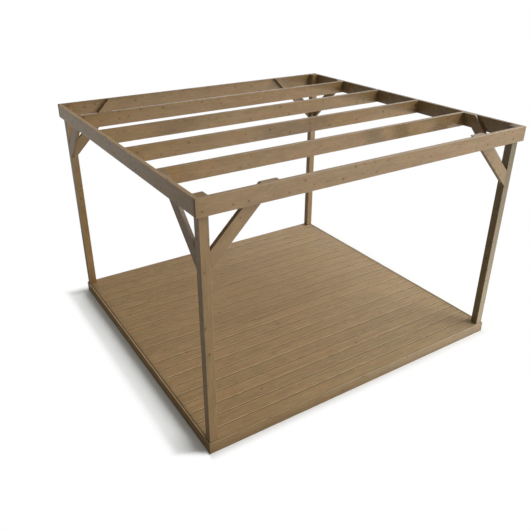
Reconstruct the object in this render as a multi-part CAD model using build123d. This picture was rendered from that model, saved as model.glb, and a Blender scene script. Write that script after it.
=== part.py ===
"""Decked box pergola in planed softwood.

A square-cut rim of four beams is fixed round the outside of four posts. Rafters run across between the
side beams, and a pair of 45 degree braces stiffens each post. The posts stand on a low deck: reeded boards
on a frame of joists, closed by a fascia board on each side.

Units are millimetres. X runs across the front, Y from front to back and Z up from the ground. The origin
is on the ground at the middle of the plan.
"""
import os
from math import floor, sqrt

from build123d import *

# ---- Overall sizes ----
overall_width = 3600.0      # across the front, outside the side beams
overall_depth = 3415.0      # front to back, outside the front and back beams
overall_height = 2400.0     # from the ground to the top of the beams

# ---- Roof timber ----
beam_depth = 145.0          # beams and rafters are the same depth, flush above and below
beam_thickness = 36.0
rafter_thickness = 36.0
rafter_count = 4
front_bay_extra = 40.0      # the bay at the front is this much longer than the others

# ---- Posts and braces ----
post_side = 80.0            # square section
brace_width = 112.0         # face width of the brace board
brace_thickness = 42.0      # of those along the front and back beams
side_brace_thickness = 33.0  # of those along the side beams
brace_reach = 603.0         # from the post along the beam, and from the beam top down the post

# ---- Deck ----
board_width = 140.0
board_thickness = 25.0
board_gap = 6.0             # between neighbouring boards
board_end_gap = 4.0         # between the boards and the fascia, on all four sides
joist_depth = 90.0
joist_thickness = 38.0
joist_count = 7             # joists inside the rim of the deck frame
fascia_thickness = 12.0
boards_per_node = 3

# ---- Reeding on the face of each deck board ----
reed_pitch = 12.0           # from groove to groove
groove_width = 5.0          # at the face
groove_floor = 2.5          # at the bottom
groove_depth = 2.0
plain_margin = 8.0          # flat strip left along each edge of a board

# ---- Finish of the planed timber ----
arris_radius = 2.0          # easing of the long edges of the bars
board_edge_radius = 3.0     # easing of the upper edges of the deck boards

# ---- Sizes that follow ----
frame_half_width = overall_width / 2 - beam_thickness       # to the outer faces of the posts
frame_half_depth = overall_depth / 2 - beam_thickness
rafter_pitch = (overall_depth - front_bay_extra) / (rafter_count + 1)
beam_underside = overall_height - beam_depth
deck_height = joist_depth + board_thickness

parts = {}


def bar(along, low, high):
    """Timber that fills the box between two corners, with its four long edges eased."""
    corner = Vector(*low)
    size = Vector(*high) - corner
    block = Pos(corner) * Box(size.X, size.Y, size.Z, align=Align.MIN)
    return fillet(block.edges().filter_by(along), arris_radius)


def add_posts():
    """Four posts in the corners of the rim, from the deck up to the top of the beams."""
    for depth_name, depth_sign in (("front", -1), ("back", 1)):
        for width_name, width_sign in (("left", -1), ("right", 1)):
            outer = (width_sign * frame_half_width, depth_sign * frame_half_depth)
            inner = (outer[0] - width_sign * post_side, outer[1] - depth_sign * post_side)
            low = (min(outer[0], inner[0]), min(outer[1], inner[1]), deck_height)
            high = (max(outer[0], inner[0]), max(outer[1], inner[1]), overall_height)
            parts[f"post_{depth_name}_{width_name}"] = bar(Axis.Z, low, high)


def add_beams():
    """Front and back beams run the full width, and the side beams fit between them."""
    half_width = overall_width / 2
    half_depth = overall_depth / 2
    front = bar(
        Axis.X,
        (-half_width, -half_depth, beam_underside),
        (half_width, -frame_half_depth, overall_height),
    )
    left = bar(
        Axis.Y,
        (-half_width, -frame_half_depth, beam_underside),
        (-frame_half_width, frame_half_depth, overall_height),
    )
    parts["beam_front"] = front
    parts["beam_back"] = mirror(front, about=Plane.XZ)
    parts["beam_left"] = left
    parts["beam_right"] = mirror(left, about=Plane.YZ)


def rafter_mark(number):
    """Y of a rafter's front face. Rafters are counted, and set out, from the outside of the back beam."""
    return overall_depth / 2 - number * rafter_pitch


def add_rafters():
    """Rafters between the side beams, each with its front face on its mark."""
    for number in range(1, rafter_count + 1):
        mark = rafter_mark(number)
        parts[f"rafter_{number}"] = bar(
            Axis.X,
            (-frame_half_width, mark, beam_underside),
            (frame_half_width, mark + rafter_thickness, overall_height),
        )


def make_brace(thickness, room):
    """One brace: its foot is cut plumb against a post at X = 0, and its head level at Z = 0, the beam top.

    The lower edge runs from the post, one reach down, to the beam, one reach out. The outer face is at
    Y = 0. Where a rafter leaves less room than the reach, the tip of the head is cut plumb against it.
    """
    head_end = min(brace_reach, room)
    half_diagonal = brace_width / sqrt(2)
    board = Box(2 * brace_reach, thickness, brace_width)
    board = fillet(board.edges().filter_by(Axis.X), arris_radius)
    middle = (brace_reach / 2, thickness / 2, half_diagonal - brace_reach / 2)
    board = Pos(*middle) * Rot(0, -45, 0) * board
    cuts = Pos(0, 0, -brace_reach) * Box(head_end, thickness, brace_reach, align=Align.MIN)
    return board & cuts


def side_brace(room):
    """A brace along the left beam, at the front post."""
    foot = (-frame_half_width + side_brace_thickness, -frame_half_depth + post_side, overall_height)
    return Pos(*foot) * Rot(0, 0, 90) * make_brace(side_brace_thickness, room)


def add_braces():
    """Two braces on each post, one along each beam, with the outer face in the plane of the post's face."""
    post_inside = frame_half_depth - post_side
    room_in_front = rafter_mark(rafter_count) + post_inside
    room_behind = post_inside - rafter_mark(1) - rafter_thickness
    front_foot = (-frame_half_width + post_side, -frame_half_depth, overall_height)
    under_front = Pos(*front_foot) * make_brace(brace_thickness, brace_reach)
    left_front = side_brace(room_in_front)
    left_back = mirror(side_brace(room_behind), about=Plane.XZ)
    parts["brace_front_beam_left"] = under_front
    parts["brace_front_beam_right"] = mirror(under_front, about=Plane.YZ)
    parts["brace_back_beam_left"] = mirror(under_front, about=Plane.XZ)
    parts["brace_back_beam_right"] = mirror(parts["brace_back_beam_left"], about=Plane.YZ)
    parts["brace_left_beam_front"] = left_front
    parts["brace_left_beam_back"] = left_back
    parts["brace_right_beam_front"] = mirror(left_front, about=Plane.YZ)
    parts["brace_right_beam_back"] = mirror(left_back, about=Plane.YZ)


def add_joists():
    """Frame of the deck, on the ground: a rim under the posts, and joists from its front to its back."""
    inside = frame_half_depth - joist_thickness
    front = bar(
        Axis.X,
        (-frame_half_width, -frame_half_depth, 0),
        (frame_half_width, -inside, joist_depth),
    )
    left = bar(
        Axis.Y,
        (-frame_half_width, -inside, 0),
        (-frame_half_width + joist_thickness, inside, joist_depth),
    )
    parts["rim_joist_front"] = front
    parts["rim_joist_back"] = mirror(front, about=Plane.XZ)
    parts["rim_joist_left"] = left
    parts["rim_joist_right"] = mirror(left, about=Plane.YZ)
    spacing = (2 * frame_half_width - joist_thickness) / (joist_count + 1)
    for number in range(1, joist_count + 1):
        shift = number * spacing
        parts[f"joist_{number}"] = Pos(shift, 0, 0) * left


def add_fascias():
    """Fascia boards round the deck frame, from the ground up to the face of the boards."""
    outer_half_width = frame_half_width + fascia_thickness
    outer_half_depth = frame_half_depth + fascia_thickness
    front = bar(
        Axis.X,
        (-outer_half_width, -outer_half_depth, 0),
        (outer_half_width, -frame_half_depth, deck_height),
    )
    left = bar(
        Axis.Y,
        (-outer_half_width, -frame_half_depth, 0),
        (-frame_half_width, frame_half_depth, deck_height),
    )
    parts["fascia_front"] = front
    parts["fascia_back"] = mirror(front, about=Plane.XZ)
    parts["fascia_left"] = left
    parts["fascia_right"] = mirror(left, about=Plane.YZ)


def reeded_section():
    """Section of a full deck board: Y from 0 at its front edge, Z from 0 at its underside."""
    section = Pos(board_width / 2, board_thickness / 2) * Rectangle(board_width, board_thickness)
    section = fillet(section.vertices().group_by(Axis.Y)[-1], board_edge_radius)
    groove_count = floor((board_width - 2 * plain_margin - groove_width) / reed_pitch) + 1
    first_groove = (board_width - (groove_count - 1) * reed_pitch) / 2
    slope = (groove_width - groove_floor) / 2
    for number in range(groove_count):
        left_edge = first_groove + number * reed_pitch - groove_width / 2
        groove = Polygon(
            (left_edge, board_thickness),
            (left_edge + slope, board_thickness - groove_depth),
            (left_edge + slope + groove_floor, board_thickness - groove_depth),
            (left_edge + groove_width, board_thickness),
            align=None,
        )
        section -= groove
    return Plane.YZ * section


def add_deck_boards():
    """Reeded boards across the joists, laid from the back. The front one is ripped to what is left."""
    board_length = 2 * (frame_half_width - board_end_gap)
    full_board = Pos(0, 0, joist_depth) * extrude(reeded_section(), amount=board_length / 2, both=True)
    back_edge = frame_half_depth - board_end_gap
    front_edge = -back_edge
    laid_boards = []
    board_back = back_edge
    while board_back > front_edge + board_gap:
        board = Pos(0, board_back - board_width, 0) * full_board
        board_front = board_back - board_width
        if board_front < front_edge:
            keep = Box(board_length, board_back - front_edge, board_thickness, align=Align.MIN)
            board = board & Pos(-board_length / 2, front_edge, joist_depth) * keep
        laid_boards.append(board)
        board_back = board_front - board_gap
    for first in range(0, len(laid_boards), boards_per_node):
        group = laid_boards[first:first + boards_per_node]
        number = first // boards_per_node + 1
        parts[f"deck_boards_{number}"] = Compound(children=group)


add_posts()
add_beams()
add_rafters()
add_braces()
add_joists()
add_fascias()
add_deck_boards()

os.makedirs("parts", exist_ok=True)
for name, shape in parts.items():
    export_step(shape, f"parts/{name}.step")
print(len(parts), "nodes written")
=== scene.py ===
# %% [markdown]
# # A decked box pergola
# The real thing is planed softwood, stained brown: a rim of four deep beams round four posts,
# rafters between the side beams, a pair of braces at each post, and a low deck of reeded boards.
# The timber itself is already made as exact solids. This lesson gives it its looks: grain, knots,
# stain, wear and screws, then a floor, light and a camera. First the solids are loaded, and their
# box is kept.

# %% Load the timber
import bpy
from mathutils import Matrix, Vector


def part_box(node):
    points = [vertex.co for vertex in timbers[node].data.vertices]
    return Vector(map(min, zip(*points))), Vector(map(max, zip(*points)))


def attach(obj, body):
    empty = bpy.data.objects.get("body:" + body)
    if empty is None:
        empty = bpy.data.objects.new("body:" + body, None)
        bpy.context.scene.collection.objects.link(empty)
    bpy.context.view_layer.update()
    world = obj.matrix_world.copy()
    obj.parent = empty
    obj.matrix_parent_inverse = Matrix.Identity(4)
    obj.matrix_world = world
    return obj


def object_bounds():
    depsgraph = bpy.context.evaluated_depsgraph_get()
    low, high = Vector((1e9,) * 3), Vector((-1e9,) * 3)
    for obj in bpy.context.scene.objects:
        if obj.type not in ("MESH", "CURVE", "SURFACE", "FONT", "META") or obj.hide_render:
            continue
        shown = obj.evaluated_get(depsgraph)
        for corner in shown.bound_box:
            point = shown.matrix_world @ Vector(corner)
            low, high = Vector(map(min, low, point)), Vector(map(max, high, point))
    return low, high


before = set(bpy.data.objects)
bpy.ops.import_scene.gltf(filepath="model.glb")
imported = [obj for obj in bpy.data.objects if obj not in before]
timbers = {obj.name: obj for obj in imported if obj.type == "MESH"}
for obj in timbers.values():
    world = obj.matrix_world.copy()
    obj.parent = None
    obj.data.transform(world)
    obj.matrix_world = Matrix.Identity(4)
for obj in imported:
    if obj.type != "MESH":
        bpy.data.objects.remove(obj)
timber_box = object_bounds()
print(len(timbers), "pieces of timber, from", timber_box[0][:], "to", timber_box[1][:])

# %% Tools used throughout
import math

import bpy
from mathutils import Matrix, Vector

# %% [markdown]
# ## Camera
# A person on a step ladder would see the pergola like this: from beyond its front left corner, a
# little above the roof, looking down. A 40 mm lens on a full-frame sensor is close to plain
# eyesight, so the timbers keep natural proportions. The small shift only centres the view.

# %% Set up the camera
look_down, look_right = 27.041, 32.342  # degrees below level, and right of straight back
camera_data = bpy.data.cameras.new("camera")
camera_data.sensor_width = 36.0
camera_data.lens = 39.84
camera_data.shift_x = 0.0089
camera_data.shift_y = -0.0201
camera_data.clip_end = 200.0
camera = bpy.data.objects.new("camera", camera_data)
camera.location = (-3.4228, -5.1033, 3.8879)
camera.rotation_euler = (math.radians(90 - look_down), 0, math.radians(-look_right))
bpy.context.collection.objects.link(camera)
bpy.context.scene.camera = camera
bpy.context.scene.view_settings.view_transform = "Standard"
print("camera at", camera.location[:])

# %% [markdown]
# ## Light
# A pergola is drawn outdoors in broad, even light. One large round softbox, high on the right,
# stands for a hazy sun: it throws the soft shadow at the left foot. A weaker one behind lifts the
# faces turned away. The third is small, so that it casts a readable shadow. It stands low at the
# front right, a little below the height of the ground, and shines up under the roof, where the
# front right post throws a dark band on the rafters. The last two stay out of the reflections,
# or they would show as hot spots. The strength of each is worked out from its size and distance:
# a face turned straight at it gets `level` times the light at which a colour shows as written.

# %% Hang the softboxes
pergola_middle = Vector((0, 0, 1.2))


def hang_softbox(name, towards, distance, radius, level, colour, mirrored):
    """A round area lamp that faces the middle of the pergola."""
    towards = Vector(towards).normalized()
    share = radius ** 2 / (radius ** 2 + distance ** 2)
    data = bpy.data.lights.new(name, "AREA")
    data.shape = "DISK"
    data.size = 2 * radius
    data.color = colour
    data.energy = math.pi * math.pi * radius ** 2 * level / share
    lamp = bpy.data.objects.new(name, data)
    lamp.location = pergola_middle + towards * distance
    lamp.rotation_euler = towards.to_track_quat("Z", "Y").to_euler()
    lamp.visible_glossy = mirrored
    bpy.context.collection.objects.link(lamp)
    print(name, "of", round(data.energy), "W")


warm_white, cool_white = (1.0, 0.985, 0.965), (0.985, 0.99, 1.0)
hang_softbox("hazy_sun", (0.665, -0.42, 0.62), 20.0, 9.2, 0.92, warm_white, True)
hang_softbox("back_fill", (0.22, 0.92, 0.30), 12.0, 5.0, 0.34, cool_white, False)
hang_softbox("low_light", (0.80, -0.60, -0.096), 20.0, 0.66, 0.46, cool_white, False)

# %% [markdown]
# ## Shorthand for node trees
# Every finish below is a tree of nodes. Written out, a tree is mostly wiring. These helpers add a
# node, wire what it is given and hand back its result, so that a tree reads like a sum.

# %% Helpers that add and wire nodes
def feed(tree, socket, value):
    """Links a socket to another node's output, or gives it a plain value."""
    if isinstance(value, bpy.types.NodeSocket):
        tree.links.new(value, socket)
    else:
        socket.default_value = value


def add(tree, kind, values=None, **settings):
    """Adds a node, sets its own fields, and feeds the sockets named or numbered in values."""
    node = tree.nodes.new(kind)
    for field, value in settings.items():
        setattr(node, field, value)
    for label, value in (values or {}).items():
        feed(tree, node.inputs[label], value)
    return node


def use_group(tree, group, values):
    """The outputs of a node group, placed in a tree with its own values."""
    return add(tree, "ShaderNodeGroup", values, node_tree=group).outputs


# %% Helpers for numbers and vectors
def math_node(tree, operation, *values):
    """The result of a Math node."""
    return add(tree, "ShaderNodeMath", dict(enumerate(values)), operation=operation).outputs[0]


def times(tree, first, *others):
    """The product of several numbers."""
    for other in others:
        first = math_node(tree, "MULTIPLY", first, other)
    return first


def largest(tree, first, *others):
    """The largest of several numbers."""
    for other in others:
        first = math_node(tree, "MAXIMUM", first, other)
    return first


def ramp_between(tree, value, low, high, out_low=0.0, out_high=1.0):
    """Turns a value between low and high smoothly into one between out_low and out_high."""
    ends = dict(enumerate((value, low, high, out_low, out_high)))
    return add(tree, "ShaderNodeMapRange", ends, interpolation_type="SMOOTHSTEP").outputs["Result"]


def vector_node(tree, operation, *values):
    """The vector, or for a length the number, that comes out of a Vector Math node."""
    node = add(tree, "ShaderNodeVectorMath", dict(enumerate(values)), operation=operation)
    return node.outputs["Value" if operation == "LENGTH" else "Vector"]


def split(tree, whole, kind="XYZ"):
    """The three parts of a vector, or of a colour if kind is Color."""
    return add(tree, "ShaderNodeSeparate" + kind, {0: whole}).outputs


def join(tree, parts, kind="XYZ"):
    """A vector, or a colour if kind is Color, made of its parts."""
    return add(tree, "ShaderNodeCombine" + kind, dict(enumerate(parts))).outputs[0]


def noise(tree, place, stretch, detail=2.0, **settings):
    """A Noise texture, as many times finer along each axis as stretch says."""
    place = vector_node(tree, "MULTIPLY", place, stretch)
    values = {"Vector": place, "Scale": 1.0, "Detail": detail}
    return add(tree, "ShaderNodeTexNoise", values, **settings).outputs


# %% Helpers for colours
def blend_colour(tree, amount, first, second, how="MIX"):
    """Mixes two colours."""
    values = {0: amount, 6: first, 7: second}
    return add(tree, "ShaderNodeMix", values, data_type="RGBA", blend_type=how,
               clamp_factor=True).outputs[2]


def tint(tree, amount, colour, by):
    """Multiplies a colour by another, as far as amount says."""
    return blend_colour(tree, amount, colour, by, "MULTIPLY")


def blend_number(tree, amount, first, second):
    """Mixes two numbers."""
    values = {0: amount, 2: first, 3: second}
    return add(tree, "ShaderNodeMix", values, data_type="FLOAT").outputs[0]


def grey(share):
    """The same share of red, green and blue."""
    return (share, share, share)


# %% [markdown]
# ## Surroundings
# The world fills the shade weakly and a touch warm, like light that has come off soil and timber.
# The camera sees it as plain white. Reflections see it too, nearly white low on the right and
# dimmer towards the left and overhead, or the shaded faces would shine as if wet.

# %% Fill light from the world
def who_looks(tree):
    """Masks for rays that mirror or pass through, for the camera's own, and for both."""
    rays = add(tree, "ShaderNodeLightPath").outputs
    mirrored = largest(tree, rays["Is Glossy Ray"], rays["Is Transmission Ray"])
    filmed = rays["Is Camera Ray"]
    return mirrored, filmed, largest(tree, mirrored, filmed)


fill_level = 0.25
fill_colour = (1.0, 0.970, 0.890, 1)
white = (1, 1, 1, 1)
world = bpy.data.worlds.new("surroundings")
world.use_nodes = True
bpy.context.scene.world = world
sky = world.node_tree
sky.nodes.clear()
mirrored, filmed, looked_at = who_looks(sky)
heading = split(sky, add(sky, "ShaderNodeTexCoord").outputs["Generated"])
from_right = ramp_between(sky, heading[0], 0.28, 0.80, 0.23, 0.86)
from_low = ramp_between(sky, heading[2], 0.22, 0.75, 1.0, 0.34)
glow = times(sky, from_right, from_low)
strength = largest(sky, blend_number(sky, mirrored, fill_level, glow), filmed)
backdrop = add(sky, "ShaderNodeBackground",
               {"Color": blend_colour(sky, looked_at, fill_colour, white), "Strength": strength})
add(sky, "ShaderNodeOutputWorld", {0: backdrop.outputs[0]})
print("fill light", fill_level)

# %% [markdown]
# ## Floor
# The deck lies on open ground. A plain white floor carries the soft, slightly cool shade at its
# left foot, and fades into the white of the surroundings further out. In front of the deck and
# behind it the shade is short, and beside it the front edge runs aslant to the back left. To the
# timber the floor is a mid grey, or it would light the undersides more than the ground outdoors
# does. Under the deck it is painted a dark soil colour as painted shade, so that the gaps between
# the boards stay dark. It casts no shadow of its own, so the low lamp shines through it.

# %% Lay the floor
floor_half, floor_height = 90.0, -0.0005  # in metres, and a hair below the timber
square = ((-1, -1), (1, -1), (1, 1), (-1, 1))
floor_mesh = bpy.data.meshes.new("floor")
floor_mesh.from_pydata([(x * floor_half, y * floor_half, floor_height) for x, y in square],
                       [], [(0, 1, 2, 3)])
floor = bpy.data.objects.new("floor", floor_mesh)
bpy.context.collection.objects.link(floor)
floor.visible_shadow = False
floor_finish = bpy.data.materials.new("floor_white")
floor_finish.use_nodes = True
floor_mesh.materials.append(floor_finish)
print("floor laid")

# %% How white the floor shows, and to whom
ground = floor_finish.node_tree
ground.nodes.clear()
mirrored, filmed, looked_at = who_looks(ground)
place = add(ground, "ShaderNodeTexCoord").outputs["Object"]
across, backwards, _ = split(ground, place)
past_part = vector_node(ground, "SUBTRACT", vector_node(ground, "ABSOLUTE", place), timber_box[1])
away = vector_node(ground, "LENGTH", vector_node(ground, "MAXIMUM", past_part, (0, 0, 0)))
bright_side = ramp_between(ground, across, -2.0, 2.6)
in_front = ramp_between(ground, backwards, -1.2, -1.9, 0.35, 1.0)
dim_side = ramp_between(ground, away, 0.0, 4.0, 0.15, 0.42)
glow = largest(ground, times(ground, bright_side, in_front), dim_side)
white_here = largest(ground, times(ground, mirrored, glow), filmed)

# %% Colour of the floor
painted_shade_soil, mid_grey = (0.045, 0.030, 0.018, 1), (0.50, 0.50, 0.50, 1)
cool_shade = (0.96, 0.985, 1.0)
# Right at the deck's foot the floor is painted a little greyer: painted shade.
shaded_foot = times(ground, white_here, ramp_between(ground, away, 0.0, 0.08, 0.94, 1.0))
cool_floor = join(ground, [times(ground, shaded_foot, share) for share in cool_shade], "Color")
open_colour = blend_colour(ground, looked_at, mid_grey, cool_floor)
past_x, past_y, _ = split(ground, past_part)
# Under the deck the floor is painted near black: painted shade.
under_deck = ramp_between(ground, largest(ground, past_x, past_y), -0.05, -0.09)
lit = add(ground, "ShaderNodeBsdfDiffuse",
          {"Color": blend_colour(ground, under_deck, open_colour, painted_shade_soil)})
far_glow = add(ground, "ShaderNodeEmission", {"Strength": white_here})

# %% Where the shade ends
# The floor's white glow is laid over the lamps' shade where this mask says, so the mask paints
# where the shade ends.
shade_slant = 0.65  # how far back its front edge falls for every metre to the left
deck_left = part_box("fascia_left")[0].x
left_of_deck = largest(ground, math_node(ground, "SUBTRACT", deck_left, across), 0.0)
slanted = math_node(ground, "MULTIPLY_ADD", left_of_deck, -shade_slant, backwards)
whitened = largest(
    ground,
    ramp_between(ground, away, 0.02, 0.50, 0.0, 0.82),  # a slow fade at the foot
    ramp_between(ground, away, 0.15, 0.29),  # and a quick one at the end
    ramp_between(ground, backwards, 1.64, 1.82),  # behind the deck
    ramp_between(ground, backwards, -1.68, -1.78),  # in front of it
    times(ground, ramp_between(ground, left_of_deck, 0.0, 0.02),
          ramp_between(ground, slanted, -1.62, -1.73)),  # aslant on its left
)
fade = add(ground, "ShaderNodeMixShader", {0: times(ground, whitened, looked_at),
                                           1: lit.outputs[0], 2: far_glow.outputs[0]})
add(ground, "ShaderNodeOutputMaterial", {0: fade.outputs[0]})
print("floor finished:", len(ground.nodes), "nodes")

# %% [markdown]
# ## How each piece lies
# Grain runs along a piece of timber, so every piece needs its own frame: X along the grain, Y
# across its width and Z through its thickness, measured from its middle. One wood pattern then
# serves posts, beams and slanted braces alike. The sizes come from the solids themselves, by
# measuring them along those three directions.

# %% Measure every piece along its own grain
right, back, up = Vector((1, 0, 0)), Vector((0, 1, 0)), Vector((0, 0, 1))


def lie(name, grain, width):
    """Middle, turn and half size of a piece, in its own frame."""
    along, across = grain.normalized(), width.normalized()
    turn = Matrix((along, across, along.cross(across))).transposed()
    corners = [turn.transposed() @ vertex.co for vertex in timbers[name].data.vertices]
    low = Vector([min(corner[axis] for corner in corners) for axis in range(3)])
    high = Vector([max(corner[axis] for corner in corners) for axis in range(3)])
    return {"middle": turn @ ((low + high) / 2), "turn": turn.to_euler(), "half": (high - low) / 2}


def lie_of_brace(name):
    """A brace's grain leans from its foot on the post up to the beam that its name tells."""
    _, beam, _, end = name.split("_")
    level_way = right if beam in ("front", "back") else back
    from_foot = 1 if end in ("left", "front") else -1
    lean = level_way * from_foot + up
    return lie(name, lean, lean.cross(level_way.cross(up)))


lies = {}
for name in timbers:
    if name.startswith("post"):
        lies[name] = lie(name, up, right)
    elif name.startswith("deck_boards"):
        lies[name] = lie(name, right, back)
    elif name.startswith("brace"):
        lies[name] = lie_of_brace(name)
    elif name.startswith("rafter") or name.endswith(("front", "back")):
        lies[name] = lie(name, right, up)
    else:
        lies[name] = lie(name, back, up)
for name in ("beam_front", "post_front_left", "brace_front_beam_left"):
    print(name, "is", [round(2000 * size) for size in lies[name]["half"]], "mm")

# %% [markdown]
# ## The wood pattern
# A board is cut from a trunk, and a trunk is a stack of cones, nearly cylinders, round its pith.
# So the growth rings are made as cylinders too, in the solid, and the faces simply show where they
# cut them: long lines on a face, arches where the trunk bends, and arcs on an end. Every ring goes
# from pale, wide early wood to a narrow dark line of late wood. A picture of wood wrapped on the
# faces couldn't turn a corner like that. The pattern is one group, so that every timber can wear
# it with a seed of its own.

# %% Start of a node group
NUMBER, VECTOR, COLOUR = "NodeSocketFloat", "NodeSocketVector", "NodeSocketColor"


def new_group(name, inputs, outputs):
    """An empty shader node group. An input may come with the value it has when none is given."""
    tree = bpy.data.node_groups.new(name, "ShaderNodeTree")
    for label, kind in inputs.items():
        kind, *usual = kind if isinstance(kind, tuple) else (kind,)
        socket = tree.interface.new_socket(label, in_out="INPUT", socket_type=kind)
        if usual:
            socket.default_value = usual[0]
    for label, kind in outputs.items():
        tree.interface.new_socket(label, in_out="OUTPUT", socket_type=kind)
    return tree, add(tree, "NodeGroupInput").outputs, add(tree, "NodeGroupOutput").inputs


def depths_below(tree, vector, half_size):
    """How far a point lies inside each of its piece's three pairs of faces."""
    from_middle = vector_node(tree, "ABSOLUTE", vector)
    return split(tree, vector_node(tree, "SUBTRACT", half_size, from_middle))


# %% Group: softwood figure
figure, given, result = new_group(
    "softwood_figure",
    {"Vector": VECTOR, "Half Size": VECTOR, "Seed": NUMBER, "Ring Width": NUMBER,
     "Knot Share": NUMBER},
    {"Late Wood": NUMBER, "Fibre": NUMBER, "Streak": NUMBER, "Knot": NUMBER,
     "Knot Edge": NUMBER, "Place": VECTOR},
)
# Each seed takes its piece from another part of an endless tree.
trunk_size = (37.0, 23.0, 29.0)
toss = add(figure, "ShaderNodeTexWhiteNoise", {"W": given["Seed"]}, noise_dimensions="1D")
chance = toss.outputs["Color"]
shift = vector_node(figure, "MULTIPLY", chance, trunk_size)
spot = vector_node(figure, "ADD", given["Vector"], shift)
feed(figure, result["Place"], spot)

# %% [markdown]
# ## Knots
# A branch leaves a knot, square to the face it is seen on. So each point asks which pair of faces
# it is nearer to, and looks up the knots of that face. There is one chance of a knot in every
# patch of face, at a random place in it. Its outline is ragged, and it is a little longer along
# the grain than across.

# %% Knots of the figure
knot_patch = (0.125, 0.068, 1.0)  # length and width of a patch, in metres
knot_spread = (0.100, 0.068, 0.0)  # the same, shorter, which draws the knots out along the grain
ragged_edge = 0.0035
smallest_knot, knot_growth = 0.0028, 0.0068  # in metres of radius
other_face = 5.3  # shifts the knots on the narrow faces away from those on the wide ones

depths = depths_below(figure, given["Vector"], given["Half Size"])
on_edge_face = math_node(figure, "LESS_THAN", depths[1], depths[2])
lengthways, crossways, through = split(figure, spot)
sideways = blend_number(figure, on_edge_face, crossways,
                        math_node(figure, "ADD", through, other_face))
cell_place = vector_node(figure, "DIVIDE", join(figure, (lengthways, sideways)), knot_patch)
cells = add(figure, "ShaderNodeTexVoronoi",
            {"Vector": cell_place, "Scale": 1.0, "Randomness": 0.85},
            voronoi_dimensions="2D", feature="F1").outputs
reach = vector_node(figure, "SUBTRACT", cell_place, cells["Position"])
from_knot = vector_node(figure, "LENGTH", vector_node(figure, "MULTIPLY", reach, knot_spread))
ragged = noise(figure, spot, (140.0, 140.0, 140.0))[0]
from_knot = math_node(figure, "MULTIPLY_ADD", ragged, ragged_edge, from_knot)
from_knot = math_node(figure, "SUBTRACT", from_knot, ragged_edge / 2)
luck = split(figure, cells["Color"], "Color")
radius = math_node(figure, "POWER", luck[0], 2.2)
radius = math_node(figure, "MULTIPLY_ADD", radius, knot_growth, smallest_knot)
there = math_node(figure, "LESS_THAN", luck[1], given["Knot Share"])
share_out = math_node(figure, "DIVIDE", from_knot, radius)
core = ramp_between(figure, share_out, 1.05, 0.72)
halo = ramp_between(figure, share_out, 3.0, 0.90)
feed(figure, result["Knot"], times(figure, core, there))
feed(figure, result["Knot Edge"], times(figure, halo, there))

# %% [markdown]
# ## Rings and fibre
# A ring is known by its distance from the pith. The pith wanders as the trunk bends, and the rings
# swerve round a knot, so both are added to that distance. Between the rings lies the fibre: very
# long, very thin streaks, and broader ones that tint the board.

# %% Rings and fibre of the figure
pith_start, pith_spread = (0.0, -0.05, -0.09), (0.0, 0.10, 0.05)  # off the middle of the piece
sway_reach = (0.0, 0.075, 0.075)
swerve = 0.008

bend = noise(figure, spot, (1.1, 3.0, 3.0), 1.0)["Color"]
sway = vector_node(figure, "SUBTRACT", bend, (0.5, 0.5, 0.5))
sway = vector_node(figure, "MULTIPLY", sway, sway_reach)
pith = vector_node(figure, "MULTIPLY_ADD", chance, pith_spread, pith_start)
swayed = vector_node(figure, "ADD", given["Vector"], sway)
from_pith = vector_node(figure, "SUBTRACT", swayed, pith)
from_pith = vector_node(figure, "MULTIPLY", from_pith, (0.0, 1.0, 1.0))
distance = vector_node(figure, "LENGTH", from_pith)
swell = times(figure, ramp_between(figure, share_out, 4.5, 0.6), there)
distance = math_node(figure, "MULTIPLY_ADD", swell, swerve, distance)
ring = math_node(figure, "FRACT", math_node(figure, "DIVIDE", distance, given["Ring Width"]))
rise = ramp_between(figure, ring, 0.35, 0.88)
fall = ramp_between(figure, ring, 1.0, 0.93)
feed(figure, result["Late Wood"], times(figure, rise, fall))
feed(figure, result["Fibre"], noise(figure, spot, (14.0, 900.0, 900.0), 3.0)[0])
feed(figure, result["Streak"], noise(figure, spot, (2.2, 55.0, 55.0), 2.5)[0])
print("softwood figure:", len(figure.nodes), "nodes")

# %% [markdown]
# ## Edges and ends
# The planed arrises of outdoor timber catch the light: they are rubbed in handling, and stain sits
# thinner on them. The saw-cut ends do the opposite. They drink stain and rain, and go dark. Both
# follow from one sum: how far a point lies from each pair of faces of its piece. On a face one of
# those distances is nothing, and near an edge the second smallest is small too.

# %% Group: edge wear and end grain
edges, given, result = new_group(
    "timber_edges",
    {"Vector": VECTOR, "Half Size": VECTOR, "Place": VECTOR, "Width": NUMBER},
    {"Wear": NUMBER, "End Grain": NUMBER, "Near End": NUMBER},
)
from_end, from_side, from_face = depths_below(edges, given["Vector"], given["Half Size"])
scuffs = noise(edges, given["Place"], (18.0, 60.0, 60.0), 3.0)[0]
rubbed = times(edges, given["Width"], ramp_between(edges, scuffs, 0.3, 0.7, 0.45, 1.6))
nearer = largest(edges, from_side, from_face)
worn = ramp_between(edges, math_node(edges, "DIVIDE", nearer, rubbed), 1.0, 0.25)
soaked = math_node(edges, "MULTIPLY_ADD", scuffs, -0.06, from_end)
feed(edges, result["Wear"], worn)
feed(edges, result["End Grain"], ramp_between(edges, from_end, 0.0009, 0.0004))
feed(edges, result["Near End"], ramp_between(edges, soaked, 0.06, -0.03))
print("timber edges:", len(edges.nodes), "nodes")

# %% [markdown]
# ## Brown stain
# The timber is pressure treated and stained a grey brown. The stain never takes evenly: patches
# lean to pink where the wood is resinous and to green where the treatment shows, and late wood and
# knots go darkest. This group turns the masks above into a colour, a roughness and a height, and
# every timber in the pergola wears it with its own seed and tones.

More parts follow.
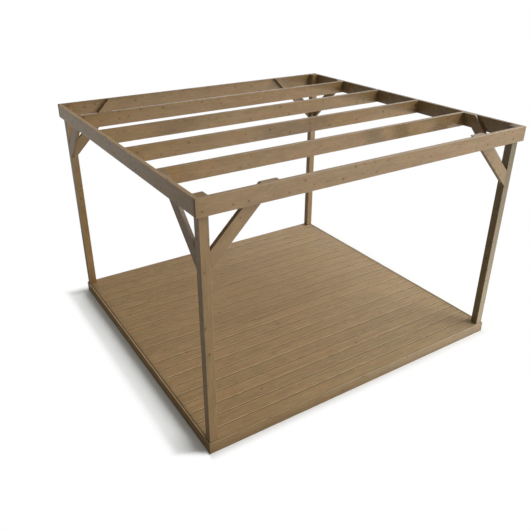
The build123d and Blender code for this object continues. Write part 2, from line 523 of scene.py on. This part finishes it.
# %% Group: stained softwood
stained, given, result = new_group(
    "stained_softwood",
    {"Vector": VECTOR, "Half Size": VECTOR, "Seed": NUMBER, "Early Colour": COLOUR,
     "Late Colour": COLOUR, "Knot Colour": COLOUR, "Edge Colour": COLOUR, "Ring Width": NUMBER,
     "Ring Strength": NUMBER, "Knot Share": NUMBER, "Dirt And Shade": NUMBER,
     "Wear Width": (NUMBER, 0.006), "Wear": (NUMBER, 0.45)},
    {"Colour": COLOUR, "Roughness": NUMBER, "Height": NUMBER},
)
wood = use_group(stained, figure, {
    label: given[label] for label in ("Vector", "Half Size", "Seed", "Ring Width", "Knot Share")})
rims = use_group(stained, edges, {
    "Vector": given["Vector"], "Half Size": given["Half Size"], "Place": wood["Place"],
    "Width": given["Wear Width"]})

# %% Colour of the stain, from the bare wood up
# Tints of the patches and knot rings, and the dark brown of dirt and of painted shade.
pink, green = (1.12, 0.95, 0.93, 1), (0.93, 1.02, 0.88, 1)
knot_ring, dirt_and_painted_shade = (0.82, 0.72, 0.56, 1), (0.085, 0.055, 0.030, 1)


def lay_over(mask, strength, tone, colour, how="MIX"):
    """Lays a colour over the tone where a mask says, at a share of its strength."""
    return blend_colour(stained, times(stained, mask, strength), tone, colour, how)


tone = lay_over(wood["Late Wood"], given["Ring Strength"], given["Early Colour"],
                given["Late Colour"])
patches = noise(stained, wood["Place"], (6.0, 12.0, 12.0))["Color"]
pinkish, greenish, deep = split(stained, patches, "Color")
tone = tint(stained, ramp_between(stained, pinkish, 0.50, 0.66, 0.0, 0.40), tone, pink)
tone = tint(stained, ramp_between(stained, greenish, 0.50, 0.66, 0.0, 0.45), tone, green)
light_dark = times(stained, ramp_between(stained, deep, 0.30, 0.70, 0.94, 1.06),
                   ramp_between(stained, wood["Fibre"], 0.25, 0.75, 0.90, 1.10),
                   ramp_between(stained, wood["Streak"], 0.30, 0.70, 0.95, 1.05))
tone = tint(stained, 1.0, tone, join(stained, grey(light_dark), "Color"))
tone = lay_over(rims["Wear"], given["Wear"], tone, given["Edge Colour"])
tone = lay_over(rims["Near End"], 0.25, tone, given["Late Colour"])
tone = lay_over(wood["Knot Edge"], 0.55, tone, knot_ring, "MULTIPLY")
tone = lay_over(wood["Knot"], 0.75, tone, given["Knot Colour"])
tone = lay_over(rims["End Grain"], 0.45, tone, given["Late Colour"])
# Dirt and painted shade: where that mask says, the colour goes towards a dark brown.
feed(stained, result["Colour"], blend_colour(stained, given["Dirt And Shade"], tone, dirt_and_painted_shade))

# %% Roughness and height of the stained wood
rough = ramp_between(stained, wood["Fibre"], 0.3, 0.7, 0.20, 0.28)
for mask, change in ((rims["End Grain"], 0.30), (given["Dirt And Shade"], 0.60), (wood["Knot"], -0.06)):
    rough = math_node(stained, "MULTIPLY_ADD", mask, change, rough)
feed(stained, result["Roughness"], rough)
raised = times(stained, wood["Late Wood"], 0.45)
for mask, change in ((wood["Fibre"], 0.55), (wood["Knot"], 0.8)):
    raised = math_node(stained, "MULTIPLY_ADD", mask, change, raised)
feed(stained, result["Height"], raised)
print("stained softwood:", len(stained.nodes), "nodes")

# %% [markdown]
# ## Painted sheen
# Low down at the front right corner the deck, the fascia and the front of the post are all painted
# paler, greyer and bluer. This is a painted sheen, standing in for the reflection of the bright
# ground there, so one small group paints it on all of them from the place in the pergola.

# %% Group: painted sheen at the front right
sheen_group, given, result = new_group(
    "painted_sheen",
    {"Colour": COLOUR, "Place": VECTOR, "Amount": (NUMBER, 1.0),
     "Bleach": (COLOUR, (1.11, 1.19, 1.30, 1))},
    {"Colour": COLOUR},
)
across, backwards, height = split(sheen_group, given["Place"])
# Painted sheen: strongest towards the front right corner and low down.
towards_sheen = math_node(sheen_group, "SUBTRACT", across, backwards)
painted_sheen = times(sheen_group, ramp_between(sheen_group, towards_sheen, -0.4, 2.6),
                 ramp_between(sheen_group, height, 2.2, 0.2), given["Amount"])
feed(sheen_group, result["Colour"], tint(sheen_group, painted_sheen, given["Colour"], given["Bleach"]))
print("painted_sheen_nodes:", len(sheen_group.nodes), "nodes")

# %% [markdown]
# ## Finish of the bars
# Posts, beams, rafters, braces, fascias and joists are plain bars, so one recipe dresses them all.
# Each gets a material of its own, because the Mapping node in it carries the middle and the turn of
# that one bar, and its seed cuts it from its own place in the tree. The deck's frame is never
# planed or stained after treatment, and stays greener and duller.

# %% Wood of each family of bars
brown = {"Early Colour": (0.300, 0.196, 0.092, 1), "Late Colour": (0.190, 0.113, 0.047, 1),
         "Knot Colour": (0.100, 0.046, 0.022, 1), "Edge Colour": (0.400, 0.290, 0.175, 1)}
under = {"Early Colour": (0.250, 0.195, 0.110, 1), "Late Colour": (0.160, 0.115, 0.060, 1),
         "Knot Colour": (0.060, 0.030, 0.015, 1), "Edge Colour": (0.300, 0.240, 0.150, 1)}
hidden_cut = {"Ring Width": 0.0055, "Ring Strength": 0.60, "Knot Share": 0.60}
families = {
    "post": (brown, {"Ring Width": 0.0050, "Ring Strength": 0.34, "Knot Share": 0.45}),
    "beam": (brown, {"Ring Width": 0.0042, "Ring Strength": 0.30, "Knot Share": 0.66}),
    "rafter": (brown, {"Ring Width": 0.0040, "Ring Strength": 0.30, "Knot Share": 0.62}),
    "brace": (brown, {"Ring Width": 0.0038, "Ring Strength": 0.32, "Knot Share": 0.45,
                      "Wear": 0.25}),
    "fascia": (brown, {"Ring Width": 0.0036, "Ring Strength": 0.32, "Knot Share": 0.50}),
    "rim": (under, hidden_cut),
    "joist": (under, hidden_cut),
}
wood_gloss = 1.65  # the IOR of wood that is still oily from its stain
grain_relief = 0.0004

# %% [markdown]
# ## Painted light and shade on each timber
# Some bars are painted darker or lighter as a whole, and some drift to another tone along their
# length or height. These tones are painted light and shade, not stain: they stand in for how the
# light falls on each bar. The left of the frame is painted the palest, and the back, the right and
# the braces the darkest, as painted shade. The front right post is painted darker and greyer all
# round, and its front is then lightened by the painted sheen.

# %% Tones and drifts of painted light and shade
along_x, along_y, along_z = 0, 1, 2
painted_light_tone_of = {
    "beam_left": grey(1.14), "beam_right": (0.78, 0.78, 0.76), "beam_back": grey(0.79),
    "rafter_1": (0.82, 0.80, 0.77), "rafter_2": (0.86, 0.86, 0.85),
    "rafter_3": (0.89, 0.88, 0.87), "rafter_4": grey(0.93),
    "post_back_left": (0.84, 0.83, 0.80), "post_back_right": grey(0.94),
    "post_front_right": (0.63, 0.72, 0.82), "fascia_left": grey(1.12),
    "brace_left_beam_front": grey(0.82), "brace_right_beam_front": grey(0.80),
    "brace_back_beam_left": grey(0.80), "brace_back_beam_right": grey(0.80),
}
# Each drift has a direction, the places where it starts and ends, and the tint at its end.
painted_light_drift_of = {
    "beam_left": (along_y, -1.6, 1.0, (1.24, 1.24, 1.20, 1)),
    "beam_right": (along_y, -0.6, 0.6, (0.94, 0.94, 0.89, 1)),
    "beam_back": (along_x, 0.0, -1.7, (0.95, 0.91, 0.78, 1)),
    "fascia_left": (along_y, -1.4, 0.2, (1.28, 1.28, 1.28, 1)),
    "post_back_left": (along_z, 1.6, 0.1, (1.26, 1.20, 1.12, 1)),
}
for name in timbers:
    if name.startswith("rafter"):
        painted_light_drift_of[name] = (along_x, 0.0, -1.7, (0.95, 0.92, 0.80, 1))
print(len(painted_light_tone_of), "bars have a tone of their own,", len(painted_light_drift_of), "drift")

# %% Recipe of a finish
def principled(name):
    """An empty material with a Principled shader and an output."""
    finish = bpy.data.materials.new(name)
    finish.use_nodes = True
    tree = finish.node_tree
    tree.nodes.clear()
    shader = add(tree, "ShaderNodeBsdfPrincipled")
    add(tree, "ShaderNodeOutputMaterial", {0: shader.outputs[0]})
    return finish, tree, shader


def dress(tree, shader, colour, roughness, height):
    """Leads colour, roughness and height to the shader of a piece of wood."""
    bump = add(tree, "ShaderNodeBump",
               {"Strength": 1.0, "Distance": grain_relief, "Height": height})
    for label, value in (("Base Color", colour), ("Roughness", roughness),
                         ("Normal", bump.outputs[0]), ("IOR", wood_gloss)):
        feed(tree, shader.inputs[label], value)


def put_on(name, finish):
    """Puts a finish on a piece of timber."""
    for slot in timbers[name].material_slots:
        slot.material = finish


# %% Painted shade and painted sheen of a bar
front_of_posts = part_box("post_front_right")[0].y
# The front faces of the posts take a stronger painted sheen.
post_painted_sheen = (1.84, 1.92, 2.15, 1)


def painted_shade_on(tree, family, place):
    """Painted shade low on the fascias, and on the upper slopes of the braces."""
    if family == "fascia":
        # Painted shade: the fascias darken towards the ground.
        return ramp_between(tree, split(tree, place)[along_z], 0.105, 0.0, 0.0, 0.30)
    if family == "brace":
        # Painted shade on the braces' upward slopes, which the beams and posts shade.
        facing = add(tree, "ShaderNodeNewGeometry").outputs["True Normal"]
        upward = split(tree, facing)[along_z]
        return times(tree, ramp_between(tree, upward, 0.50, 0.66, 0.0, 0.45),
                     ramp_between(tree, upward, 0.95, 0.80))
    return 0.0


def painted_sheen_on(tree, family, place, colour):
    """Paints the sheen on the fascias all round, and on the posts on their front faces alone."""
    values = {"Colour": colour, "Place": place}
    if family == "post":
        values["Bleach"] = post_painted_sheen
        values["Amount"] = ramp_between(tree, split(tree, place)[along_y],
                                        front_of_posts + 0.012, front_of_posts + 0.003)
    return use_group(tree, sheen_group, values)["Colour"]


# %% Dress the bars
def dress_bar(name, seed):
    """Gives one bar its own stained softwood, with its painted light, shade and sheen."""
    family = name.split("_")[0]
    tones, cut = families[family]
    # The bar's tone of painted light and shade scales all its colours.
    tone = painted_light_tone_of.get(name, grey(1))
    tones = {label: tuple(part * share for part, share in zip(colour, tone)) + (1,)
             for label, colour in tones.items()}
    finish, tree, shader = principled(name + "_wood")
    place = add(tree, "ShaderNodeTexCoord").outputs["Object"]
    own = add(tree, "ShaderNodeMapping", {"Vector": place, "Location": lies[name]["middle"],
                                          "Rotation": lies[name]["turn"]}, vector_type="TEXTURE")
    wood = use_group(tree, stained, {
        "Vector": own.outputs[0], "Half Size": lies[name]["half"], "Seed": seed,
        "Dirt And Shade": painted_shade_on(tree, family, place), **tones, **cut})
    colour = wood["Colour"]
    # A drift of painted light and shade along the bar.
    if name in painted_light_drift_of:
        way, start, end, by = painted_light_drift_of[name]
        share = ramp_between(tree, split(tree, place)[way], start, end)
        colour = tint(tree, share, colour, by)
    # Posts and fascias take the painted sheen of the bright ground.
    if family in ("post", "fascia"):
        colour = painted_sheen_on(tree, family, place, colour)
    dress(tree, shader, colour, wood["Roughness"], wood["Height"])
    put_on(name, finish)


first_seed, seed_step = 2.0, 1.37
bars = [name for name in timbers if not name.startswith("deck_boards")]
for count, name in enumerate(sorted(bars)):
    dress_bar(name, first_seed + count * seed_step)
print(len(bars), "bars dressed")

# %% [markdown]
# ## Finish of the deck
# Every deck board is another piece of wood, though three of them share a node. The boards are laid
# at an even pitch from the back, so the board that a point is on follows from its distance to the
# back edge of the first one. That number is the seed, and it also tints each board a little
# lighter or darker. One material serves them all.

# %% Measure the boards
boards_per_node = 3
board_nodes = sorted(name for name in timbers if name.startswith("deck_boards"))
first, second, last = (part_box(board_nodes[place]) for place in (0, 1, -1))
board_pitch = (first[1].y - second[1].y) / boards_per_node
board_width = (first[1].y - first[0].y) - (boards_per_node - 1) * board_pitch
half_width = board_width / 2
half_length = first[1].x
half_thickness = (first[1].z - first[0].z) / 2
print("boards of", round(1000 * board_width), "mm at", round(1000 * board_pitch), "mm")

# %% Group: which deck board
board_group, given, result = new_group(
    "which_board",
    {"Vector": VECTOR, "Back Edge": NUMBER, "Pitch": NUMBER, "Width": NUMBER},
    {"Vector": VECTOR, "Number": NUMBER, "Luck": NUMBER},
)
across, backwards, height = split(board_group, given["Vector"])
behind = math_node(board_group, "SUBTRACT", given["Back Edge"], backwards)
place_in_row = math_node(board_group, "DIVIDE", behind, given["Pitch"])
number = math_node(board_group, "FLOOR", place_in_row)
within = times(board_group, math_node(board_group, "FRACT", place_in_row), given["Pitch"])
middle = times(board_group, given["Width"], 0.5)
from_middle = math_node(board_group, "SUBTRACT", middle, within)
toss = add(board_group, "ShaderNodeTexWhiteNoise", {"W": number}, noise_dimensions="1D")
feed(board_group, result["Vector"], join(board_group, (across, from_middle, height)))
feed(board_group, result["Number"], number)
feed(board_group, result["Luck"], toss.outputs["Value"])

# %% Find the place on its board
finish, tree, shader = principled("deck_board_wood")
place = add(tree, "ShaderNodeTexCoord").outputs["Object"]
own = add(tree, "ShaderNodeMapping",
          {"Vector": place, "Location": (0, 0, (first[0].z + first[1].z) / 2)},
          vector_type="TEXTURE").outputs[0]
which = use_group(tree, board_group, {"Vector": own, "Back Edge": first[1].y,
                                      "Pitch": board_pitch, "Width": board_width})
along_board, across_board, _ = split(tree, which["Vector"])
depth_below = math_node(tree, "SUBTRACT", half_thickness, split(tree, own)[along_z])
to_edge = math_node(tree, "SUBTRACT", half_width, math_node(tree, "ABSOLUTE", across_board))
to_back = math_node(tree, "SUBTRACT", half_width, across_board)
to_end = math_node(tree, "SUBTRACT", half_length, math_node(tree, "ABSOLUTE", along_board))

# %% [markdown]
# ## Dirt and painted shade on the deck
# Grit and old rain gather in the reeds, so the wood darkens with depth below the face. The boards
# also darken over their last few centimetres towards the ends. The edge at the back of each
# board is painted dark, as painted shade down in the gap behind it. The front edge is painted
# pale, partly wear and partly a painted highlight where that arris catches the light. The sides
# of the boards, down in the gaps, are dull and painted nearly black, as painted shade.

# %% Dirt, wear, painted shade and painted highlight of the boards
reeded = ramp_between(tree, to_edge, 0.0045, 0.0075)
in_reed = times(tree, ramp_between(tree, depth_below, 0.0004, 0.0017, 0.0, 0.86), reeded)
on_long_side = times(tree, ramp_between(tree, depth_below, 0.0006, 0.0018),
                     math_node(tree, "SUBTRACT", 1.0, reeded))
# Sides and ends of the boards, down in the gaps: painted shade.
on_side = largest(tree, on_long_side, ramp_between(tree, to_end, 0.0010, 0.0003))
# Dirt in the reeds, painted shade in the gaps and at each back edge, and darker ends.
dirt_and_painted_shade = largest(tree, in_reed, on_side, ramp_between(tree, to_end, 0.018, 0.003, 0.0, 0.85),
               ramp_between(tree, to_back, 0.0065, 0.0020, 0.0, 0.80))
# Paler towards the front edge of each board: partly wear, partly a painted highlight.
wear_and_painted_highlight = ramp_between(tree, across_board, -0.03, 0.03, 0.95, 0.20)
wood = use_group(tree, stained, {
    **brown, "Edge Colour": (0.560, 0.420, 0.265, 1),
    "Vector": which["Vector"], "Half Size": (half_length, half_width, half_thickness),
    "Seed": which["Number"], "Dirt And Shade": dirt_and_painted_shade, "Wear": wear_and_painted_highlight,
    "Ring Width": 0.0040, "Ring Strength": 0.22, "Knot Share": 0.07})

# %% [markdown]
# ## Tone of the deck
# Each board has its own tint, and each ridge between two reeds is trodden and rained on a little
# differently. The whole deck takes the painted sheen of the bright ground at its front right
# corner, and is painted slightly darker and warmer towards the back, a painted shade for the
# duller reflection there.

# %% Tone of the boards
board_tints = ((1.23, 1.34), (1.22, 1.32), (1.18, 1.28))  # of red, green and blue
reed_pitch = 0.012
first_ridge = 0.078  # the ridges are counted from this far before the middle of a board
ridges_apart = 31.0  # and from board to board the count skips this many
painted_shade_towards_back = (0.97, 0.96, 0.90, 1)
gap_shade_colour = (0.034, 0.019, 0.008, 1)

by_luck = join(tree, [ramp_between(tree, which["Luck"], 0.0, 1.0, low, high)
                      for low, high in board_tints], "Color")
tone = tint(tree, 1.0, wood["Colour"], by_luck)
from_first = math_node(tree, "ADD", across_board, first_ridge)
ridge = math_node(tree, "FLOOR", math_node(tree, "DIVIDE", from_first, reed_pitch))
ridge = math_node(tree, "MULTIPLY_ADD", which["Number"], ridges_apart, ridge)
along_ridge = join(tree, (along_board, ridge))
trodden = noise(tree, along_ridge, (0.9, 3.7, 1.0), noise_dimensions="2D")[0]
ridge_shade = ramp_between(tree, trodden, 0.30, 0.70, 0.93, 1.07)
tone = tint(tree, 1.0, tone, join(tree, grey(ridge_shade), "Color"))
# The painted sheen at the front right corner.
tone = use_group(tree, sheen_group, {"Colour": tone, "Place": place})["Colour"]
# Painted shade: slightly darker and warmer towards the back.
tone = tint(tree, ramp_between(tree, split(tree, place)[along_y], -0.9, 1.0), tone, painted_shade_towards_back)
# The sides of the boards in the gaps are painted nearly black: painted shade.
colour = blend_colour(tree, on_side, tone, gap_shade_colour)
on_rim = ramp_between(tree, to_edge, 0.0050, 0.0020)
rough = largest(tree, wood["Roughness"], on_rim)
dress(tree, shader, colour, rough, wood["Height"])
for name in board_nodes:
    put_on(name, finish)
print("deck dressed:", len(tree.nodes), "nodes")

# %% [markdown]
# ## Screws
# The frame goes together with countersunk screws with a six-lobed drive, coated brown to match the
# stain. Hundreds of them are alike, so Geometry Nodes make them: a cloud of points says where each
# one goes and which way it faces, and one small head is instanced on every point, turned by chance
# as a driver leaves it. Modelling them one by one would be slow to change, and a painted dot has
# no recess to catch light.

# %% Shape of a screw head
def screw_head(tree, radius, proud, recess_depth):
    """A short cone, wide end up, its rim just above the wood and a six-lobed recess in its top."""
    rim_points, lobe_count, lobe_reach = 12, 6, 0.14
    head_share, tip_share, recess_share = 0.55, 0.45, 0.50  # of the head's radius
    depth = times(tree, radius, head_share)
    tip = times(tree, radius, tip_share)
    cone = add(tree, "GeometryNodeMeshCone", {
        "Vertices": rim_points, "Radius Top": radius, "Radius Bottom": tip, "Depth": depth,
    }, fill_type="NGON").outputs
    sink = join(tree, (0.0, 0.0, math_node(tree, "SUBTRACT", proud, depth)))
    seated = add(tree, "GeometryNodeTransform", {"Geometry": cone["Mesh"], "Translation": sink})

    # The top is inset, pulled into six lobes, and pushed down.
    inset = add(tree, "GeometryNodeExtrudeMesh",
                {"Mesh": seated.outputs[0], "Selection": cone["Top"], "Offset Scale": 0.0},
                mode="FACES").outputs
    narrowed = add(tree, "GeometryNodeScaleElements",
                   {"Geometry": inset["Mesh"], "Selection": inset["Top"], "Scale": recess_share},
                   domain="FACE")
    x, y, z = split(tree, add(tree, "GeometryNodeInputPosition").outputs[0])
    angle = math_node(tree, "ARCTAN2", y, x)
    lobes = math_node(tree, "COSINE", times(tree, angle, lobe_count))
    pull = math_node(tree, "MULTIPLY_ADD", lobes, lobe_reach, 1 - lobe_reach)
    pulled = join(tree, (times(tree, x, pull), times(tree, y, pull), z))
    starred = add(tree, "GeometryNodeSetPosition", {
        "Geometry": narrowed.outputs[0], "Selection": inset["Top"], "Position": pulled})
    down = times(tree, recess_depth, -1.0)
    recess = add(tree, "GeometryNodeExtrudeMesh",
                 {"Mesh": starred.outputs[0], "Selection": inset["Top"], "Offset Scale": down},
                 mode="FACES")
    return recess.outputs["Mesh"]


# %% Build the screw tree
def screw_tree():
    """Geometry Nodes that put a screw head on every point, along the point's facing."""
    tree = bpy.data.node_groups.new("countersunk_screws", "GeometryNodeTree")
    for label, kind, value in (("Geometry", "Geometry", None), ("Head Radius", "Float", 0.0045),
                               ("Proud", "Float", 0.0003), ("Recess Depth", "Float", 0.0012),
                               ("Seed", "Int", 7), ("Finish", "Material", None)):
        socket = tree.interface.new_socket(label, in_out="INPUT", socket_type="NodeSocket" + kind)
        if value is not None:
            socket.default_value = value
    tree.interface.new_socket("Geometry", in_out="OUTPUT", socket_type="NodeSocketGeometry")
    given = add(tree, "NodeGroupInput").outputs
    head = screw_head(tree, given["Head Radius"], given["Proud"], given["Recess Depth"])

    # One head goes on every point, along its facing, spun by chance.
    facing = add(tree, "GeometryNodeInputNamedAttribute", {"Name": "facing"},
                 data_type="FLOAT_VECTOR")
    aim = add(tree, "FunctionNodeAlignRotationToVector",
              {"Vector": facing.outputs["Attribute"]}, axis="Z")
    chance = add(tree, "FunctionNodeRandomValue", {"Seed": given["Seed"]}, data_type="FLOAT")
    least, most = [socket for socket in chance.inputs if socket.type == "VALUE"][:2]
    feed(tree, least, 0.0)
    feed(tree, most, math.tau)
    angle = next(socket for socket in chance.outputs if socket.type == "VALUE")
    spin = add(tree, "FunctionNodeAxisAngleToRotation", {"Axis": up, "Angle": angle})
    turned = add(tree, "FunctionNodeRotateRotation",
                 {"Rotation": aim.outputs[0], "Rotate By": spin.outputs[0]},
                 rotation_space="LOCAL")
    driven = add(tree, "GeometryNodeInstanceOnPoints",
                 {"Points": given["Geometry"], "Instance": head, "Rotation": turned.outputs[0]})
    real = add(tree, "GeometryNodeRealizeInstances", {0: driven.outputs[0]})
    finished = add(tree, "GeometryNodeSetMaterial",
                   {"Geometry": real.outputs[0], "Material": given["Finish"]})
    add(tree, "NodeGroupOutput", {0: finished.outputs[0]})
    return tree


screw_nodes = screw_tree()
print("screw tree:", len(screw_nodes.nodes), "nodes")

# %% [markdown]
# ## Coating of the screws
# The coating is a dull brown with a little metal showing where the driver has slipped, more on
# some heads than on others. A noise finer than a head, and one wider than the gaps between them,
# say where.

# %% Finish of the screws
coating, bare_steel = (0.115, 0.070, 0.038, 1), (0.34, 0.30, 0.26, 1)
coated, tree, shader = principled("brown_coated_steel")
place = add(tree, "ShaderNodeTexCoord").outputs["Object"]
speckle = noise(tree, place, (900.0, 900.0, 900.0))[0]
batch = noise(tree, place, (9.0, 9.0, 9.0))[0]
slipped = times(tree, ramp_between(tree, speckle, 0.52, 0.66),
                ramp_between(tree, batch, 0.42, 0.62, 0.15, 1.0))
dimples = add(tree, "ShaderNodeBump", {"Distance": 0.0001, "Height": speckle})
for label, value in (("Base Color", blend_colour(tree, slipped, coating, bare_steel)),
                     ("Metallic", times(tree, slipped, 0.9)),
                     ("Roughness", ramp_between(tree, slipped, 0.0, 1.0, 0.48, 0.30)),
                     ("Normal", dimples.outputs[0])):
    feed(tree, shader.inputs[label], value)
print("screws coated")

# %% [markdown]
# ## Driving the screws
# Each joint is screwed from its hidden side where it has one. The beams are fixed through the
# posts from inside, the braces into the beams from behind and into the posts through their lower
# edge, and the rafters on the skew beside the side beams. Every deck board has two screws on every
# joist, on the ridges between the reeds and clear of the posts. The fascias have two at every joist
# end, and nine pairs along each side. No head is on the outer faces of the beams, so nothing
# reaches past the size of the timber.

# %% Drive a set of screws
def drive(name, places, radius):
    """Makes one mesh of all the screws at (point, facing) pairs."""
    cloud = bpy.data.meshes.new(name + "_points")
    cloud.from_pydata([tuple(point) for point, facing in places], [], [])
    facings = cloud.attributes.new("facing", "FLOAT_VECTOR", "POINT")
    for entry, (point, facing) in zip(facings.data, places):
        entry.vector = Vector(facing).normalized()
    holder = bpy.data.objects.new(name + "_points", cloud)
    bpy.context.collection.objects.link(holder)
    maker = holder.modifiers.new("screws", "NODES")
    maker.node_group = screw_nodes
    values = {"Head Radius": radius, "Finish": coated}
    for item in screw_nodes.interface.items_tree:
        if item.in_out == "INPUT" and item.name in values:
            maker[item.identifier] = values[item.name]
    ready = holder.evaluated_get(bpy.context.evaluated_depsgraph_get())
    mesh = bpy.data.meshes.new_from_object(ready)
    mesh.name = name
    holder.modifiers.remove(maker)
    bpy.data.objects.remove(holder)
    piece = bpy.data.objects.new(name, mesh)
    bpy.context.collection.objects.link(piece)
    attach(piece, "root")
    print(name, "has", len(places), "screws,", len(mesh.polygons), "faces")


# %% Screw the deck
screw_ridge = 0.048  # from the middle of a board
clear_of_post, clear_of_edge = 0.010, 0.012
posts = [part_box(name) for name in timbers if name.startswith("post")]
joist_lines = [(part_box(name)[0].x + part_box(name)[1].x) / 2 for name in timbers
               if name.startswith("joist") or name in ("rim_joist_left", "rim_joist_right")]


def under_post(x, y):
    """Whether a post stands on a place on the deck, or right beside it."""
    return any(low.x - clear_of_post < x < high.x + clear_of_post
               and low.y - clear_of_post < y < high.y + clear_of_post for low, high in posts)


deck_places = []
for board in range(boards_per_node * len(board_nodes)):
    middle = first[1].y - board * board_pitch - half_width
    for y in (middle - screw_ridge, middle + screw_ridge):
        if y > last[0].y + clear_of_edge:
            deck_places += [((x, y, first[1].z), up) for x in joist_lines if not under_post(x, y)]
drive("deck_screws", deck_places, 0.0045)

# %% Screw the fascias
fascia_rows = (0.030, 0.088)  # heights above the ground
fascia_runs, from_fascia_end = 8, 0.05
fascia_places = []
for name, outward in (("fascia_front", -1), ("fascia_back", 1)):
    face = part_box(name)[0 if outward < 0 else 1].y
    fascia_places += [((x, face, z), (0, outward, 0)) for x in joist_lines for z in fascia_rows]
for name, outward in (("fascia_left", -1), ("fascia_right", 1)):
    low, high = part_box(name)
    face = low.x if outward < 0 else high.x
    length = high.y - low.y - 2 * from_fascia_end
    along = [low.y + from_fascia_end + length * step / fascia_runs
             for step in range(fascia_runs + 1)]
    fascia_places += [((face, y, z), (outward, 0, 0)) for y in along for z in fascia_rows]
drive("fascia_screws", fascia_places, 0.0040)

# %% Places of the screws in a post, a rafter and a brace
roof_top = timber_box[1].z
beam_rows = (0.040, 0.105)  # below the top of the roof


def screws_in_post(low, high):
    """Two rows into the beams, and one pair on the skew into the deck, on both inner faces."""
    inward_x, inward_y = (1 if corner < 0 else -1 for corner in (low.x, low.y))
    inner_x = high.x if inward_x > 0 else low.x
    inner_y = high.y if inward_y > 0 else low.y
    centre = (low + high) / 2
    above_foot, foot_lean = 0.040, 0.35
    levels = [(roof_top - row, 0) for row in beam_rows] + [(low.z + above_foot, foot_lean)]
    for z, lean in levels:
        yield (inner_x, centre.y, z), (inward_x, 0, lean)
        yield (centre.x, inner_y, z), (0, inward_y, lean)


def screws_in_rafter(low, high):
    """Two rows at each end, on the skew from both sides into the side beam."""
    from_end, skew = 0.040, 0.25
    for x, outward in ((low.x + from_end, -1), (high.x - from_end, 1)):
        for row in beam_rows:
            yield (x, low.y, roof_top - row), (-skew * outward, -1, 0)
            yield (x, high.y, roof_top - row), (-skew * outward, 1, 0)


def screws_in_brace(low, high, run, side):
    """One through the lower edge into the post, and two from behind into the beam.

    The brace runs along axis number `run`, and its thickness is along axis number `side`.
    """
    up_the_foot, below_roof, setbacks = 0.050, 0.055, (0.164, 0.104)
    centre = (low + high) / 2
    into, behind = Vector(), Vector()
    into[run] = -1 if centre[run] > 0 else 1
    behind[side] = 1 if centre[side] < 0 else -1
    foot = Vector((centre.x, centre.y, low.z))
    foot[run] = low[run] if into[run] > 0 else high[run]
    yield foot + (into + up) * up_the_foot, into - up
    for setback in setbacks:
        point = foot + into * (high.z - low.z - setback)
        point.z = roof_top - below_roof
        point[side] = high[side] if centre[side] < 0 else low[side]
        yield point, behind


# %% Screw the frame
frame_places = [place for low, high in posts for place in screws_in_post(low, high)]
for name in timbers:
    if name.startswith("rafter"):
        frame_places += screws_in_rafter(*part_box(name))
    if name.startswith("brace"):
        ways = (along_x, along_y) if name.split("_")[1] in ("front", "back") else (along_y, along_x)
        frame_places += screws_in_brace(*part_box(name), *ways)
drive("frame_screws", frame_places, 0.0050)
